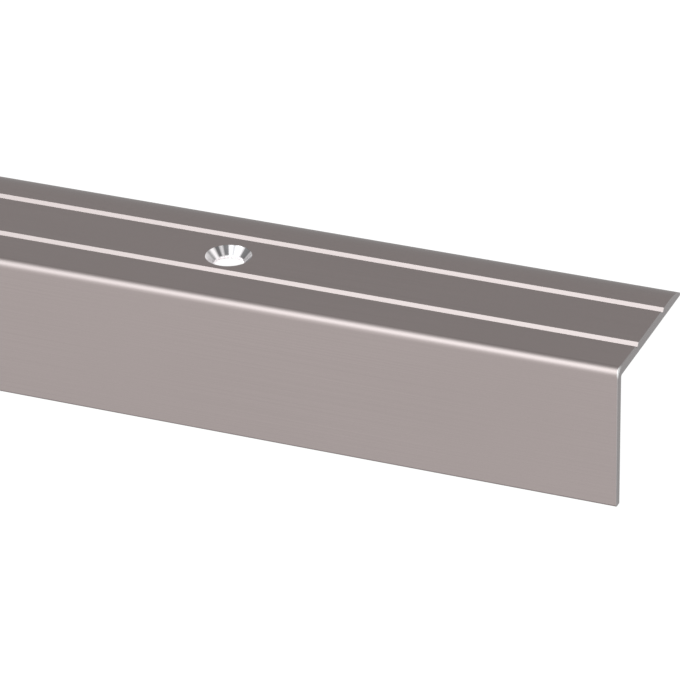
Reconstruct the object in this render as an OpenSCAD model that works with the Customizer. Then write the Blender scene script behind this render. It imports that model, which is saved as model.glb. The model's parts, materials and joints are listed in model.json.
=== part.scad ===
// Stair nosing: one extruded aluminium angle that caps the edge of a step.
// The tread flange carries two anti-slip grooves and a row of countersunk screw holes.
// It thins out towards its back edge.
// The strip lies on its two free edges like a low roof, the nose uppermost, with X along its length.

/* [Stock] */
// Length the strip is sold in
stock_length = 1000; // [600:10:1200]

/* [Section] */
// Depth of the tread flange, from the riser face to the back edge
tread_depth = 32; // [31:0.5:36]
// Height of the riser flange, from the tread surface to the bottom edge
riser_height = 26; // [20:0.5:36]
// Thickness of the tread flange
tread_thickness = 1.8; // [1.7:0.1:2.5]
// Thickness of the riser flange
riser_thickness = 1.6; // [1.2:0.1:2.5]
// Outside radius of the rounded nose
nose_radius = 1.5; // [0.8:0.1:2]
// Fillet radius in the inside corner
inside_radius = 0.4; // [0.2:0.1:1]
// Radius on the outer corner of the riser's bottom edge
edge_radius = 0.4; // [0.2:0.1:0.6]

/* [Back edge] */
// Length over which the tread flange thins out
taper_length = 6; // [4:0.5:6.5]
// Thickness left at the back edge
back_edge_thickness = 0.5; // [0.4:0.1:1]

/* [Grooves] */
// Distance of the front groove from the riser face
front_groove_offset = 9.6; // [7:0.2:10]
// Distance of the back groove from the back edge
back_groove_offset = 9.3; // [8:0.1:9.5]
// Width of each groove at the tread surface
groove_width = 1.6; // [1.2:0.1:1.8]
// Width of the flat floor of each groove
groove_floor = 0.3; // [0.2:0.1:0.5]
// Angle between the two sides of each groove
groove_angle = 90; // [80:5:100]

/* [Screw holes] */
// Number of screw holes
hole_count = 5; // [3:1:7]
// Distance of the outermost holes from the ends
hole_end_distance = 76.2; // [40:0.2:100]
// Distance of the screw row from the riser face
hole_row_offset = 15.5; // [15:0.1:16]
// Diameter of the through hole
hole_diameter = 5; // [4.9:0.1:5.4]
// Diameter of the right-angled countersink at the tread surface
countersink_diameter = 8; // [7.4:0.1:8]

/* [Hidden] */
$fn = 96;
cut = 1;

// The back of the tread surface is an arc that starts level with the tread.
taper_drop = tread_thickness - back_edge_thickness;
taper_radius = (taper_length * taper_length + taper_drop * taper_drop) / (2 * taper_drop);

// Grooves
groove_depth = (groove_width - groove_floor) / (2 * tan(groove_angle / 2));
groove_mouth = groove_width + 2 * cut * tan(groove_angle / 2);
groove_offsets = [front_groove_offset, tread_depth - back_groove_offset];

// Screw row
hole_pitch = (stock_length - 2 * hole_end_distance) / (hole_count - 1);
countersink_depth = (countersink_diameter - hole_diameter) / 2;

// Lean that lays the inner corners of both free edges on the floor
lean = atan2(riser_height - tread_thickness, tread_depth - riser_thickness);
floor_z = -tread_depth * sin(lean) - tread_thickness * cos(lean);
back_y = tread_depth * cos(lean) - taper_drop * sin(lean);
front_y = edge_radius * cos(lean) - (riser_height - edge_radius) * sin(lean) - edge_radius;

// The sliver left outside a quarter circle in the corner of a square, corner at the origin.
module corner_sliver(radius) {
    difference() {
        square(radius);
        translate([radius, radius]) circle(radius);
    }
}

// The wedge above the arc of the back edge, its start at the origin.
module taper_wedge() {
    translate([0, -taper_radius])
    difference() {
        square([taper_length + cut, taper_radius + cut]);
        circle(taper_radius);
    }
}

// Outline of a groove with sloping sides, open above the tread surface at y = 0.
module groove() {
    polygon([
        [-groove_mouth / 2, cut],
        [-groove_floor / 2, -groove_depth],
        [groove_floor / 2, -groove_depth],
        [groove_mouth / 2, cut]
    ]);
}

// Cross-section with the nose at the origin, tread flange along x, riser flange down y.
module section() {
    difference() {
        union() {
            translate([0, -tread_thickness]) square([tread_depth, tread_thickness]);
            translate([0, -riser_height]) square([riser_thickness, riser_height]);
            translate([riser_thickness, -tread_thickness]) mirror([0, 1]) corner_sliver(inside_radius);
        }
        mirror([0, 1]) corner_sliver(nose_radius);
        translate([0, -riser_height]) corner_sliver(edge_radius);
        translate([tread_depth - taper_length, 0]) taper_wedge();
        for (offset = groove_offsets)
            translate([offset, 0]) groove();
    }
}

// Through hole and countersink, with the tread surface at z = 0.
module screw_hole() {
    translate([0, 0, -tread_thickness - cut])
        cylinder(d = hole_diameter, h = tread_thickness + 2 * cut);
    translate([0, 0, -countersink_depth])
        cylinder(d1 = hole_diameter, d2 = countersink_diameter + 2 * cut, h = countersink_depth + cut);
}

module stair_nosing() {
    color([0.62, 0.58, 0.57])
    translate([0, -(back_y + front_y) / 2, -floor_z])
    rotate([-lean, 0, 0])
    translate([-stock_length / 2, 0, 0])
    difference() {
        rotate([90, 0, 90]) linear_extrude(stock_length) section();
        for (i = [0 : hole_count - 1])
            translate([hole_end_distance + i * hole_pitch, hole_row_offset, 0]) screw_hole();
    }
}

stair_nosing();
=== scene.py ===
import json
import math

import bpy
import numpy as np
from mathutils import Matrix, Vector


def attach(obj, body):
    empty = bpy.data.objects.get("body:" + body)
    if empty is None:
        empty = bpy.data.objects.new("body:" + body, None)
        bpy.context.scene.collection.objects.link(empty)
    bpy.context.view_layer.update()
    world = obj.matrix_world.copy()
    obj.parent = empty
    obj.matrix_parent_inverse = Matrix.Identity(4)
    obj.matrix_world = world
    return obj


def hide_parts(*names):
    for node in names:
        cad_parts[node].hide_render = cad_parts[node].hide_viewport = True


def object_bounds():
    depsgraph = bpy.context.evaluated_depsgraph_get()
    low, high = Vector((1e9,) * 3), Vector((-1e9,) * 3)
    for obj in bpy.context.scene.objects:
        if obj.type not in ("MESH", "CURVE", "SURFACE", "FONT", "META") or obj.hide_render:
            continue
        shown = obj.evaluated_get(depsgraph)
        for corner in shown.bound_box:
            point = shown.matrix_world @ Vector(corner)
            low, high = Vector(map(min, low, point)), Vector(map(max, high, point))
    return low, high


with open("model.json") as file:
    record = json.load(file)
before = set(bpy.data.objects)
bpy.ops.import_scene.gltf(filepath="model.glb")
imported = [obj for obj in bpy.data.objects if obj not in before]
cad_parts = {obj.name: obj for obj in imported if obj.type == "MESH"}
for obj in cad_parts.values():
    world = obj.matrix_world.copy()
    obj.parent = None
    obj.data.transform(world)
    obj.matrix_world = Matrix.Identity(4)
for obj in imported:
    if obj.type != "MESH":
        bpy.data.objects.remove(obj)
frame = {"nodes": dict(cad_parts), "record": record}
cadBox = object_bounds()
scene = bpy.context.scene
mm = 0.001  # in metres
print("frame loaded:", ", ".join(frame["nodes"]))


class Wire:
    # a socket that can be used in sums; Wire(tree) without a socket is a bench to start a finish on
    def __init__(self, tree, socket=None):
        self.tree, self.socket = tree, socket

    def node(self, kind, settings, sockets, out=0):
        made = self.tree.nodes.new(kind)
        for name, value in settings.items():
            setattr(made, name, value)
        for name, value in sockets.items():
            if isinstance(value, Wire):
                self.tree.links.new(value.socket, made.inputs[name])
            else:
                made.inputs[name].default_value = value
        return Wire(self.tree, made.outputs[out]) if made.outputs else made

    def maths(self, operation, first, second=0.0):
        return self.node("ShaderNodeMath", {"operation": operation}, {0: first, 1: second})

    def __add__(self, other):
        return self.maths("ADD", self, other)

    def __radd__(self, other):
        return self.maths("ADD", other, self)

    def __sub__(self, other):
        return self.maths("SUBTRACT", self, other)

    def __rsub__(self, other):
        return self.maths("SUBTRACT", other, self)

    def __mul__(self, other):
        return self.maths("MULTIPLY", self, other)

    def __rmul__(self, other):
        return self.maths("MULTIPLY", other, self)

    def blend(self, low, high):  # colour between low and high, by this value
        return self.node("ShaderNodeMix", {"data_type": "RGBA"}, {0: self, 6: low, 7: high}, 2)

    def noise(self, place, scale, detail, dimensions="3D"):  # the node gives 0 to 1, this is about zero
        return self.node("ShaderNodeTexNoise", {"noise_dimensions": dimensions}, {
            "Vector": place, "Scale": scale, "Detail": detail}) - 0.5


def newFinish(name):
    finish = bpy.data.materials.new(name)
    finish.use_nodes = True
    finish.node_tree.nodes.clear()
    return finish, Wire(finish.node_tree)


def closeFinish(bench, shader):
    bench.node("ShaderNodeOutputMaterial", {}, {"Surface": shader})


skin = dict(  # satin anodised surface, sizes in millimetres
    pale=(0.2265, 0.197, 0.1921, 1), deep=(0.2035, 0.1771, 0.1724, 1), edge=(0.6, 0.6, 0.6, 1),
    tone=0.5, lineWidth=0.16, lineRun=70.0, lineDetail=3.0, lineTone=1.6,
    cloudSize=45.0, cloudDetail=2.0, cloudTone=0.9, grainSize=0.3, grainDetail=1.0, grainTone=0.5,
    roughness=0.325, lineRoughness=0.12, cloudRoughness=0.04,
    relief=0.08, reliefDepth=0.02, grainRelief=0.5)


def anodisedSkin():
    finish, bench = newFinish("anodisedSkin")
    along = bench.node("ShaderNodeUVMap", {"uv_map": "along"}, {})
    place = bench.node("ShaderNodeTexCoord", {}, {}, "Object")
    # die lines: noise drawn out along the strip and fine across it
    drawn = bench.node("ShaderNodeMapping", {}, {
        "Vector": along, "Scale": (1 / skin["lineRun"], 1 / skin["lineWidth"], 1)})
    lines = bench.noise(drawn, 1.0, skin["lineDetail"], "2D")
    clouds = bench.noise(place, 1 / (skin["cloudSize"] * mm), skin["cloudDetail"])
    grain = bench.noise(place, 1 / (skin["grainSize"] * mm), skin["grainDetail"])
    tone = skin["tone"] + lines * skin["lineTone"] + clouds * skin["cloudTone"] + grain * skin["grainTone"]
    height = bench.node("ShaderNodeBump", {}, {
        "Height": lines + grain * skin["grainRelief"],
        "Strength": skin["relief"], "Distance": skin["reliefDepth"] * mm})
    closeFinish(bench, bench.node("ShaderNodeBsdfPrincipled", {}, {
        "Base Color": tone.blend(skin["deep"], skin["pale"]), "Metallic": 1.0,
        "Specular Tint": skin["edge"],
        "Roughness": skin["roughness"] + lines * skin["lineRoughness"] + clouds * skin["cloudRoughness"],
        "Normal": height}))
    return finish


sink = dict(  # bare metal of the turned countersinks, with light and dark fans painted in as the reflections of the tool's rings
    # the dark grey is painted dark reflection, shown where the fans are darkest
    bright=(0.98, 0.945, 0.955, 1), dull=(0.145, 0.142, 0.145, 1), roughness=0.38, fanRoughness=0.4,
    fanTone=0.46, fanContrast=4.7, fanStart=(151.475, 79.244), fanDrift=7.0, fanTurn=1.717, fanDetail=1.0,
    fanRun=1.8, fanFade=3.0, toolMark=0.11, relief=0.1, reliefDepth=0.02)


def turnedSink():
    finish, bench = newFinish("turnedSink")
    along = bench.node("ShaderNodeUVMap", {"uv_map": "along"}, {})
    angle = bench.node("ShaderNodeSeparateXYZ", {}, {"Vector": along}, "X")
    down = bench.node("ShaderNodeSeparateXYZ", {}, {"Vector": along}, "Y")
    place = bench.node("ShaderNodeTexCoord", {}, {}, "Object")
    row = bench.node("ShaderNodeSeparateXYZ", {}, {"Vector": place}, "X")
    # painted reflection fans: noise read along a circle, so that it closes on itself, drifting from hole to
    # hole
    fanX = bench.maths("COSINE", angle) * sink["fanTurn"] + row * sink["fanDrift"] + sink["fanStart"][0]
    fanY = bench.maths("SINE", angle) * sink["fanTurn"] + sink["fanStart"][1]
    circle = bench.node("ShaderNodeCombineXYZ", {}, {"X": fanX, "Y": fanY})
    paintedReflectionFans = bench.noise(circle, 1.0, sink["fanDetail"], "2D")
    # the painted fans give way to bright matt metal at the neck of the hole
    neck = (down - sink["fanRun"]) * sink["fanFade"]
    tone = bench.maths("MAXIMUM", sink["fanTone"] + paintedReflectionFans * sink["fanContrast"], neck)
    rings = bench.maths("SINE", down * (2 * math.pi / sink["toolMark"]))
    height = bench.node("ShaderNodeBump", {}, {
        "Height": rings, "Strength": sink["relief"], "Distance": sink["reliefDepth"] * mm})
    rough = bench.maths("MAXIMUM", sink["roughness"] - paintedReflectionFans * sink["fanRoughness"], neck)
    # painted reflections in the colour: the fans run from the painted dark grey to bright metal
    closeFinish(bench, bench.node("ShaderNodeBsdfPrincipled", {}, {
        "Base Color": tone.blend(sink["dull"], sink["bright"]), "Metallic": 1.0,
        "Roughness": rough, "Normal": height}))
    return finish


cut = dict(  # bare metal of the sawn ends and their broken edges, in greys darkened as painted shade, with a painted highlight at the nose
    # both greys are set darker than bare metal as painted shade; the saw lines vary between them
    pale=(0.25, 0.234, 0.234, 1), deep=(0.19, 0.178, 0.178, 1),
    tone=0.5, sawLine=0.22, sawRun=4.0, sawTurn=62.0, sawDetail=3.0,
    roughness=0.45, lineRoughness=0.12, relief=0.25, reliefDepth=0.05,
    # the paler colour is a painted highlight where the nose's shine runs round the end
    rub=(0.5, 0.495, 0.495, 1), rubRoughness=0.4)


def sawnEnd():
    finish, bench = newFinish("sawnEnd")
    along = bench.node("ShaderNodeUVMap", {"uv_map": "along"}, {})
    drawn = bench.node("ShaderNodeMapping", {}, {
        "Vector": along, "Rotation": (0, 0, math.radians(cut["sawTurn"])),
        "Scale": (1 / cut["sawRun"], 1 / cut["sawLine"], 1)})
    lines = bench.noise(drawn, 1.0, cut["sawDetail"], "2D")
    height = bench.node("ShaderNodeBump", {}, {
        "Height": lines, "Strength": cut["relief"], "Distance": cut["reliefDepth"] * mm})
    # saw lines vary a grey that is darkened as painted shade
    closeFinish(bench, bench.node("ShaderNodeBsdfPrincipled", {}, {
        "Base Color": (cut["tone"] + lines).blend(cut["deep"], cut["pale"]), "Metallic": 1.0,
        "Roughness": cut["roughness"] + lines * cut["lineRoughness"], "Normal": height}))
    return finish


def brokenEdge():
    finish, bench = newFinish("brokenEdge")
    along = bench.node("ShaderNodeUVMap", {"uv_map": "along"}, {})
    run = bench.node("ShaderNodeSeparateXYZ", {}, {"Vector": along}, "Y")
    # a painted highlight about the middle of the nose, falling off as a parabola along the outline
    nose, edge = nosing["noseRadius"], nosing["edgeRadius"]
    middle = nosing["riserHeight"] - edge - nose + math.pi / 4 * nose + math.pi / 2 * edge
    off = (run - middle) * (1 / nosing["noseReach"])
    bright = 1 - off * off
    # the painted highlight blends over the sawn grey
    closeFinish(bench, bench.node("ShaderNodeBsdfPrincipled", {}, {
        "Base Color": bright.blend(cut["pale"], cut["rub"]), "Metallic": 1.0,
        "Roughness": cut["rubRoughness"]}))
    return finish


nosing = dict(  # millimetres, as it sits on a step: y back from the riser face, z up from the tread
    treadDepth=32.0, riserHeight=26.0, treadThick=1.8, riserThick=1.6,
    noseRadius=1.5, insideRadius=0.4, edgeRadius=0.4, burrRadius=0.1,
    taperLength=6.0, backEdge=0.5,  # how the tread thins out behind
    grooves=(9.6, 22.7), grooveWidth=1.6, grooveFloor=0.3, grooveAngle=90.0, rimRadius=0.12, footRadius=0.2,
    holeRow=15.5, sinkAcross=8.0, neckRadius=0.2,
    patchHalf=6.5, patchSteps=20,  # the square of mesh round a hole
    endRound=0.09, noseRub=0.22, noseReach=1.5, endSteps=5,  # the broken edge of an end, widest at the nose
    noseSteps=18, taperSteps=14, filletSteps=6, coneSteps=5, footSteps=4, rimSteps=3, sharpAngle=32.0)

bores = sorted((m for m in frame["record"]["mounts"] if m["kind"] == "bore"), key=lambda m: m["pos_m"][0])
lean = math.atan2(bores[0]["axis"][1], bores[0]["axis"][2])


def layDown(y, z):  # a direction on the step, turned as the strip lies
    return y * math.cos(lean) + z * math.sin(lean), z * math.cos(lean) - y * math.sin(lean)


# the strip is set down where the middle of a bore is in the frame
boreY, boreZ = layDown(nosing["holeRow"], bores[0]["dims"]["length_mm"] / 2 - nosing["treadThick"])
shiftY, shiftZ = bores[0]["pos_m"][1] / mm - boreY, bores[0]["pos_m"][2] / mm - boreZ


def arc(centre, radius, start, stop, steps):
    # points on a circle from start to stop degrees
    turn = np.radians(np.linspace(start, stop, steps + 1))
    return np.stack([centre[0] + radius * np.cos(turn), centre[1] + radius * np.sin(turn)], 1)


def grooveLine(middle):
    # rounded rim, slope, rounded floor and the same back up: each round touches the two flats beside it
    half, flat = nosing["grooveWidth"] / 2, nosing["grooveFloor"] / 2
    rim, foot = nosing["rimRadius"], nosing["footRadius"]
    slope = 90 - nosing["grooveAngle"] / 2
    deep = (half - flat) * math.tan(math.radians(slope))
    touch = math.tan(math.radians(slope / 2))
    rimOut, footOut = half + rim * touch, flat - foot * touch
    return np.concatenate([
        arc((middle - rimOut, -rim), rim, 90, 90 - slope, nosing["rimSteps"]),
        arc((middle - footOut, foot - deep), foot, 270 - slope, 270, nosing["footSteps"]),
        arc((middle + footOut, foot - deep), foot, 270, 270 + slope, nosing["footSteps"]),
        arc((middle + rimOut, -rim), rim, 90 + slope, 90, nosing["rimSteps"])])


def backLine():
    # a large arc that starts level with the tread, then a small round that touches it and the upright edge
    depth, tread = nosing["treadDepth"], nosing["treadThick"]
    burr, taper = nosing["burrRadius"], nosing["taperLength"]
    drop = tread - nosing["backEdge"]
    bend = (taper * taper + drop * drop) / (2 * drop)
    tip = math.acos((taper - burr) / (bend - burr))
    tipZ = (bend - burr) * math.sin(tip) - bend
    return np.concatenate([
        arc((depth - taper, -bend), bend, 90, math.degrees(tip), nosing["taperSteps"]),
        arc((depth - burr, tipZ), burr, math.degrees(tip), 0, nosing["footSteps"])[1:],
        arc((depth - burr, burr - tread), burr, 0, -90, nosing["rimSteps"])])


def sectionLine(stripY):
    # the closed outline, clockwise from the bottom of the riser; stripY are places between the grooves
    height, tread, riser = nosing["riserHeight"], nosing["treadThick"], nosing["riserThick"]
    nose, inside = nosing["noseRadius"], nosing["insideRadius"]
    edge, burr = nosing["edgeRadius"], nosing["burrRadius"]
    flat = np.zeros_like(stripY)
    return np.concatenate([
        arc((edge, edge - height), edge, 270, 180, nosing["filletSteps"]),
        arc((nose, -nose), nose, 180, 90, nosing["noseSteps"]),
        grooveLine(nosing["grooves"][0]),
        np.stack([stripY, flat], 1)[1:-1],
        grooveLine(nosing["grooves"][1]),
        backLine(),
        np.stack([stripY, flat - tread], 1)[::-1],
        arc((riser + inside, -tread - inside), inside, 90, 180, nosing["filletSteps"]),
        arc((riser - burr, burr - height), burr, 0, -90, nosing["rimSteps"])])


def holeLine(boreRadius):
    # radius and height down a hole: rounded rim, right-angled cone, rounded neck, bore and rounded foot
    sinkRadius, tread = nosing["sinkAcross"] / 2, nosing["treadThick"]
    rim, neck, burr = nosing["rimRadius"], nosing["neckRadius"], nosing["burrRadius"]
    slope, rimSteps, footSteps = 45, nosing["rimSteps"], nosing["footSteps"]
    touch = math.tan(math.radians(slope / 2))
    rimArc = arc((sinkRadius + rim * touch, -rim), rim, 90, 90 + slope, rimSteps)
    neckZ = boreRadius - sinkRadius - neck * touch
    neckArc = arc((boreRadius + neck, neckZ), neck, 90 + slope, 180, footSteps)
    footArc = arc((boreRadius + burr, burr - tread), burr, 180, 270, footSteps)
    cone = np.linspace(rimArc[-1], neckArc[0], nosing["coneSteps"] + 1)[1:-1]
    return np.concatenate([rimArc, cone, neckArc, footArc])


def runAlong(points):
    # distance from the first point to each of the others along the line
    return np.concatenate([[0], np.cumsum(np.linalg.norm(np.diff(points, axis=0), axis=1))])


def outward(line):
    # mitred outward direction at each point of a closed clockwise outline
    step = np.roll(line, -1, 0) - line
    side = np.stack([-step[:, 1], step[:, 0]], 1) / np.linalg.norm(step, axis=1)[:, None]
    both = side + np.roll(side, 1, 0)
    return 2 * both / np.sum(both * both, 1)[:, None]


def closed(grid):
    # a grid whose first column comes again at its end
    return np.concatenate([grid, grid[:, :1]], 1)


def cellsOf(grid):
    # the four corners of each cell of a grid, in order round the cell
    return np.stack([grid[:-1, :-1], grid[1:, :-1], grid[1:, 1:], grid[:-1, 1:]], 2)


# shared by the strip, its hole patches and its ends: the outline, its run, and the stations across a patch
patchSteps, endSteps = nosing["patchSteps"], nosing["endSteps"]
stripLength = (cadBox[1].x - cadBox[0].x) / mm
holeX = np.array([bore["pos_m"][0] for bore in bores]) / mm
patchX = np.linspace(-nosing["patchHalf"], nosing["patchHalf"], patchSteps + 1)
frontGroove, backGroove = (grooveLine(middle) for middle in nosing["grooves"])
patchY = np.linspace(frontGroove[-1, 0], backGroove[0, 0], patchSteps + 1)
outline = sectionLine(patchY)
outlineRun = runAlong(np.concatenate([outline, outline[:1]]))
topStart = np.argmin(np.linalg.norm(outline - (patchY[0], 0), axis=1))
lowStart = np.argmin(np.linalg.norm(outline - (patchY[-1], -nosing["treadThick"]), axis=1))
firstStations = endSteps + 1 + np.arange(holeX.size) * (patchSteps + 1)
skinSlot, sinkSlot, endSlot, edgeSlot = range(4)  # places of the finishes on the mesh


def sweptGrid():
    # the outline carried along x, with stations across each hole patch; at the ends it is drawn in along
    # its outward direction as a quarter circle, whose radius is a bell curve about the nose
    crown = nosing["noseRadius"] * (1 - math.sqrt(0.5))
    away = np.linalg.norm(outline - (crown, -crown), axis=1) / nosing["noseReach"]
    curl = nosing["endRound"] + nosing["noseRub"] * np.exp(-away * away)
    turn = np.radians(np.linspace(0, 90, endSteps + 1))[:, None]
    sag, drawn = curl * (1 - np.sin(turn)), curl * (1 - np.cos(turn))
    straight = np.zeros((holeX.size * patchX.size, len(outline)))
    stations = straight + (holeX[:, None] + patchX).reshape(-1, 1)
    x = np.concatenate([sag[::-1] - stripLength / 2, stations, stripLength / 2 - sag])
    drawnIn = np.concatenate([drawn[::-1], straight, drawn])
    return np.concatenate([x[..., None], outline - drawnIn[..., None] * outward(outline)], -1)


def sweptStrip():
    # the swept outline, open where the hole patches go; its map has millimetres along and round the outline
    grid = sweptGrid()
    points = grid.reshape(-1, 3)
    index = closed(np.arange(len(points)).reshape(grid.shape[:2]))
    cells = cellsOf(index)
    places = cellsOf(np.stack(np.broadcast_arrays(grid[:, :1, 0] + stripLength / 2, outlineRun), -1))
    kinds = np.full(cells.shape[:2], skinSlot)
    kinds[:endSteps] = kinds[-endSteps:] = edgeSlot
    kept = np.ones(cells.shape[:2], bool)
    for first in firstStations:
        kept[first:first + patchSteps, topStart:topStart + patchSteps] = False
        kept[first:first + patchSteps, lowStart:lowStart + patchSteps] = False
    return index, (points, cells[kept], places[kept], kinds[kept])


def holePatch(middle, first, index, start):
    # rings from the square edge of a patch to the rim, down the hole's wall and out again below;
    # their points are numbered from start, and on the wall the map has the angle and the run down
    rows, tread = holeLine(bores[0]["dims"]["r_mm"]), nosing["treadThick"]
    flatRows, firstCorner = 2, math.radians(-135)
    angle = np.linspace(0, 2 * math.pi, 4 * patchSteps + 1) + firstCorner
    ring = np.stack([np.cos(angle), np.sin(angle)], -1)
    there, stay = np.arange(patchSteps), np.zeros(patchSteps, int)
    edgeX = np.concatenate([there, stay + patchSteps, patchSteps - there, stay, [0]])
    edgeY = np.concatenate([stay, there, stay + patchSteps, patchSteps - there, [0]])
    edge = np.stack([middle + patchX[edgeX], patchY[edgeY]], -1)
    circles = np.array([middle, nosing["holeRow"]]) + rows[:, None, :1] * ring
    plan = np.concatenate([[edge, (edge + circles[0]) / 2], circles, [(edge + circles[-1]) / 2, edge]])
    height = np.concatenate([[0, 0], rows[:, 1], [-tread, -tread]])
    solid = np.concatenate([plan, np.broadcast_to(height[:, None, None], plan.shape[:2] + (1,))], -1)
    own = solid[1:-1, :-1]
    loops = np.concatenate([
        [index[first + edgeX, topStart + edgeY]],
        closed(start + np.arange(own[..., 0].size).reshape(own.shape[:2])),
        [index[first + edgeX, lowStart + patchSteps - edgeY]]])
    cells = cellsOf(loops)[..., ::-1]
    along, down = plan[..., 0] + stripLength / 2, np.pad(runAlong(rows), flatRows, mode="edge")
    topMap = np.stack([along, outlineRun[topStart] + plan[..., 1] - patchY[0]], -1)
    wallMap = np.stack(np.broadcast_arrays(angle, down[:, None]), -1)
    lowMap = np.stack([along, outlineRun[lowStart] + patchY[-1] - plan[..., 1]], -1)
    places = np.concatenate([
        cellsOf(topMap)[:flatRows], cellsOf(wallMap)[flatRows:-flatRows], cellsOf(lowMap)[-flatRows:]])
    kinds = np.full(cells.shape[:2], sinkSlot)
    kinds[:flatRows] = kinds[-flatRows:] = skinSlot
    return own.reshape(-1, 3), cells.reshape(-1, 4), places[:, :, ::-1].reshape(-1, 4, 2), kinds.ravel()


def endFaces(loop):
    # a sawn end in parts: nose and riser, back edge, and a row of cells between the grooves
    front = np.concatenate([loop[lowStart + patchSteps:], loop[:topStart + 1]])
    back = loop[topStart + patchSteps:lowStart + 1]
    over = loop[topStart:topStart + patchSteps + 1]
    under = loop[lowStart:lowStart + patchSteps + 1][::-1]
    return [front, back, *np.stack([over[:-1], over[1:], under[1:], under[:-1]], 1)]


def stripMesh():
    # points, four-cornered cells, their places on the map "along", their finishes, and the end faces
    index, strip = sweptStrip()
    parts = [strip]
    for middle, first in zip(holeX, firstStations):
        start = sum(len(part[0]) for part in parts)
        parts.append(holePatch(middle, first, index, start))
    points, quads, maps, kinds = (np.concatenate(some) for some in zip(*parts))
    left, right = (endFaces(index[row, :-1]) for row in (0, -1))
    return points, quads, maps, kinds, left + [face[::-1] for face in right]


def buildNosing():
    points, quads, maps, kinds, ends = stripMesh()
    y, z = layDown(points[:, 1], points[:, 2])
    placed = np.stack([points[:, 0], y + shiftY, z + shiftZ], 1) * mm
    mesh = bpy.data.meshes.new("nosingStrip")
    mesh.from_pydata(placed.tolist(), [], quads.tolist() + [end.tolist() for end in ends])
    maps = np.concatenate([maps.reshape(-1, 2)] + [points[end, 1:] for end in ends])
    mesh.uv_layers.new(name="along").data.foreach_set("uv", maps.astype(np.float32).ravel())
    kinds = np.concatenate([kinds, np.full(len(ends), endSlot)])
    mesh.polygons.foreach_set("material_index", kinds.astype(np.int32))
    mesh.polygons.foreach_set("use_smooth", np.ones(len(mesh.polygons), bool))
    mesh.set_sharp_from_angle(angle=math.radians(nosing["sharpAngle"]))
    for finish in (anodisedSkin(), turnedSink(), sawnEnd(), brokenEdge()):
        mesh.materials.append(finish)
    mesh.update()
    strip = bpy.data.objects.new("nosingStrip", mesh)
    scene.collection.objects.link(strip)
    strip.modifiers.new("evenNormals", "WEIGHTED_NORMAL").keep_sharp = True
    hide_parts("stair_nosing")
    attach(strip, "root")
    print("nosing strip:", len(points), "points,", len(kinds), "faces,", len(bores), "holes")


buildNosing()


camera = dict(  # seen from the front right, in degrees and millimetres from the right end's nose
    azimuth=22.643, elevation=28.146, roll=-0.98, aim=(-49.266, 0.0, -3.649), distance=785.42,
    lens=248.057, sensor=36.0, near=10.0, far=50000.0)


def addCamera():
    azimuth, elevation, roll = (math.radians(camera[k]) for k in ("azimuth", "elevation", "roll"))
    level = math.cos(elevation)
    forward = Vector((-math.sin(azimuth) * level, math.cos(azimuth) * level, -math.sin(elevation)))
    right = Vector((math.cos(azimuth), math.sin(azimuth), 0))
    up = right.cross(forward)
    right, up = right * math.cos(roll) + up * math.sin(roll), up * math.cos(roll) - right * math.sin(roll)
    right, up, forward = (Vector((way.x, *layDown(way.y, way.z))) for way in (right, up, forward))
    aimX, aimY, aimZ = camera["aim"]
    aimY, aimZ = layDown(aimY, aimZ)
    aim = Vector((cadBox[1].x / mm + aimX, aimY + shiftY, aimZ + shiftZ))
    data = bpy.data.cameras.new("photoView")
    data.lens, data.sensor_width = camera["lens"], camera["sensor"]
    data.clip_start, data.clip_end = camera["near"] * mm, camera["far"] * mm
    eye = bpy.data.objects.new("photoView", data)
    turned = Matrix((right, up, -forward)).transposed().to_4x4()
    eye.matrix_world = Matrix.Translation((aim - forward * camera["distance"]) * mm) @ turned
    scene.collection.objects.link(eye)
    scene.camera = eye
    print("camera at", [round(v, 3) for v in eye.location])


addCamera()


studio = dict(  # radiance of the lit table, of the cloth tent over it and of the lamp behind the cloth
    tableGlow=1.0, tableTone=0.04, tableRoughness=0.9, tableHalf=12.0, tentBack=1.0, tentFront=2.56,
    lamp=6.35, lampTint=(0.95, 1.0, 1.02, 1), lampTilt=-1.2, lampFocus=5.8, lampSide=-0.34, lampWidth=0.38)


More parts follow.
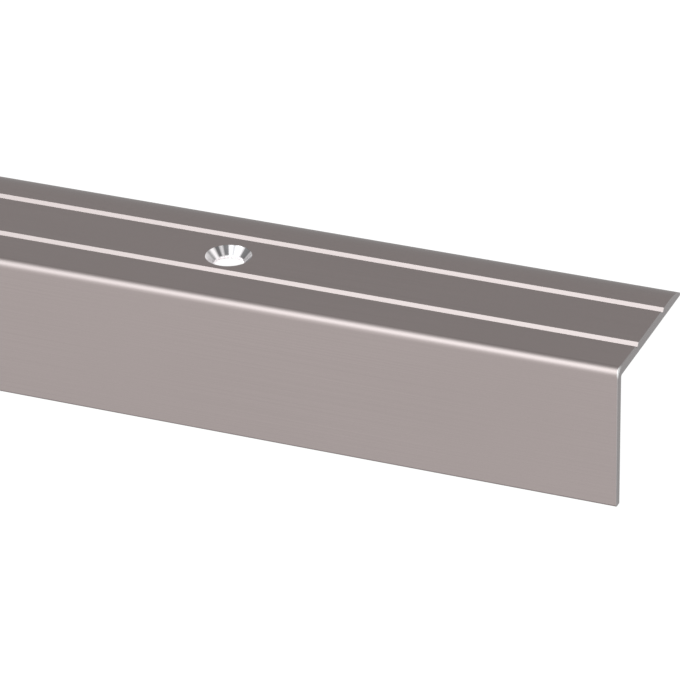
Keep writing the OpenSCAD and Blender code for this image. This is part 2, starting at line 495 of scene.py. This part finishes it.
def addTable():
    half, tone = studio["tableHalf"], studio["tableTone"]
    sheet = bpy.data.meshes.new("table")
    corners = [(-half, -half, 0), (half, -half, 0), (half, half, 0), (-half, half, 0)]
    sheet.from_pydata(corners, [], [(0, 1, 2, 3)])
    finish, bench = newFinish("litTable")
    closeFinish(bench, bench.node("ShaderNodeBsdfPrincipled", {}, {
        "Base Color": (tone, tone, tone, 1), "Specular IOR Level": 0.0,
        "Roughness": studio["tableRoughness"],
        "Emission Color": (1, 1, 1, 1), "Emission Strength": studio["tableGlow"]}))
    sheet.materials.append(finish)
    table = bpy.data.objects.new("table", sheet)
    scene.collection.objects.link(table)


def addTent():
    tent = bpy.data.worlds.new("tent")
    tent.use_nodes = True
    tent.node_tree.nodes.clear()
    bench = Wire(tent.node_tree)
    way = bench.node("ShaderNodeTexCoord", {}, {})
    across = bench.node("ShaderNodeSeparateXYZ", {}, {"Vector": way}, "X")
    back = bench.node("ShaderNodeSeparateXYZ", {}, {"Vector": way}, "Y")
    # the cloth grows brighter evenly from back to front
    mean = (studio["tentBack"] + studio["tentFront"]) / 2
    rise = (studio["tentBack"] - studio["tentFront"]) / 2
    cloth = bench.node("ShaderNodeBackground", {}, {"Strength": mean + back * rise})
    # the lamp is a soft patch overhead, off to one side
    tilt = math.radians(studio["lampTilt"])
    above = bench.node("ShaderNodeVectorMath", {"operation": "DOT_PRODUCT"}, {
        0: way, 1: (0, math.sin(tilt), math.cos(tilt))}, "Value")
    patch = bench.maths("POWER", bench.maths("MAXIMUM", above), studio["lampFocus"])
    off = (across - studio["lampSide"]) * (1 / studio["lampWidth"])
    patch = patch * bench.maths("MAXIMUM", 1 - off * off)
    lamp = bench.node("ShaderNodeBackground", {}, {
        "Color": studio["lampTint"], "Strength": patch * studio["lamp"]})
    both = bench.node("ShaderNodeAddShader", {}, {0: cloth, 1: lamp})
    bench.node("ShaderNodeOutputWorld", {}, {"Surface": both})
    scene.world = tent
    scene.view_settings.view_transform = "Standard"


addTable()
addTent()
print("studio ready")
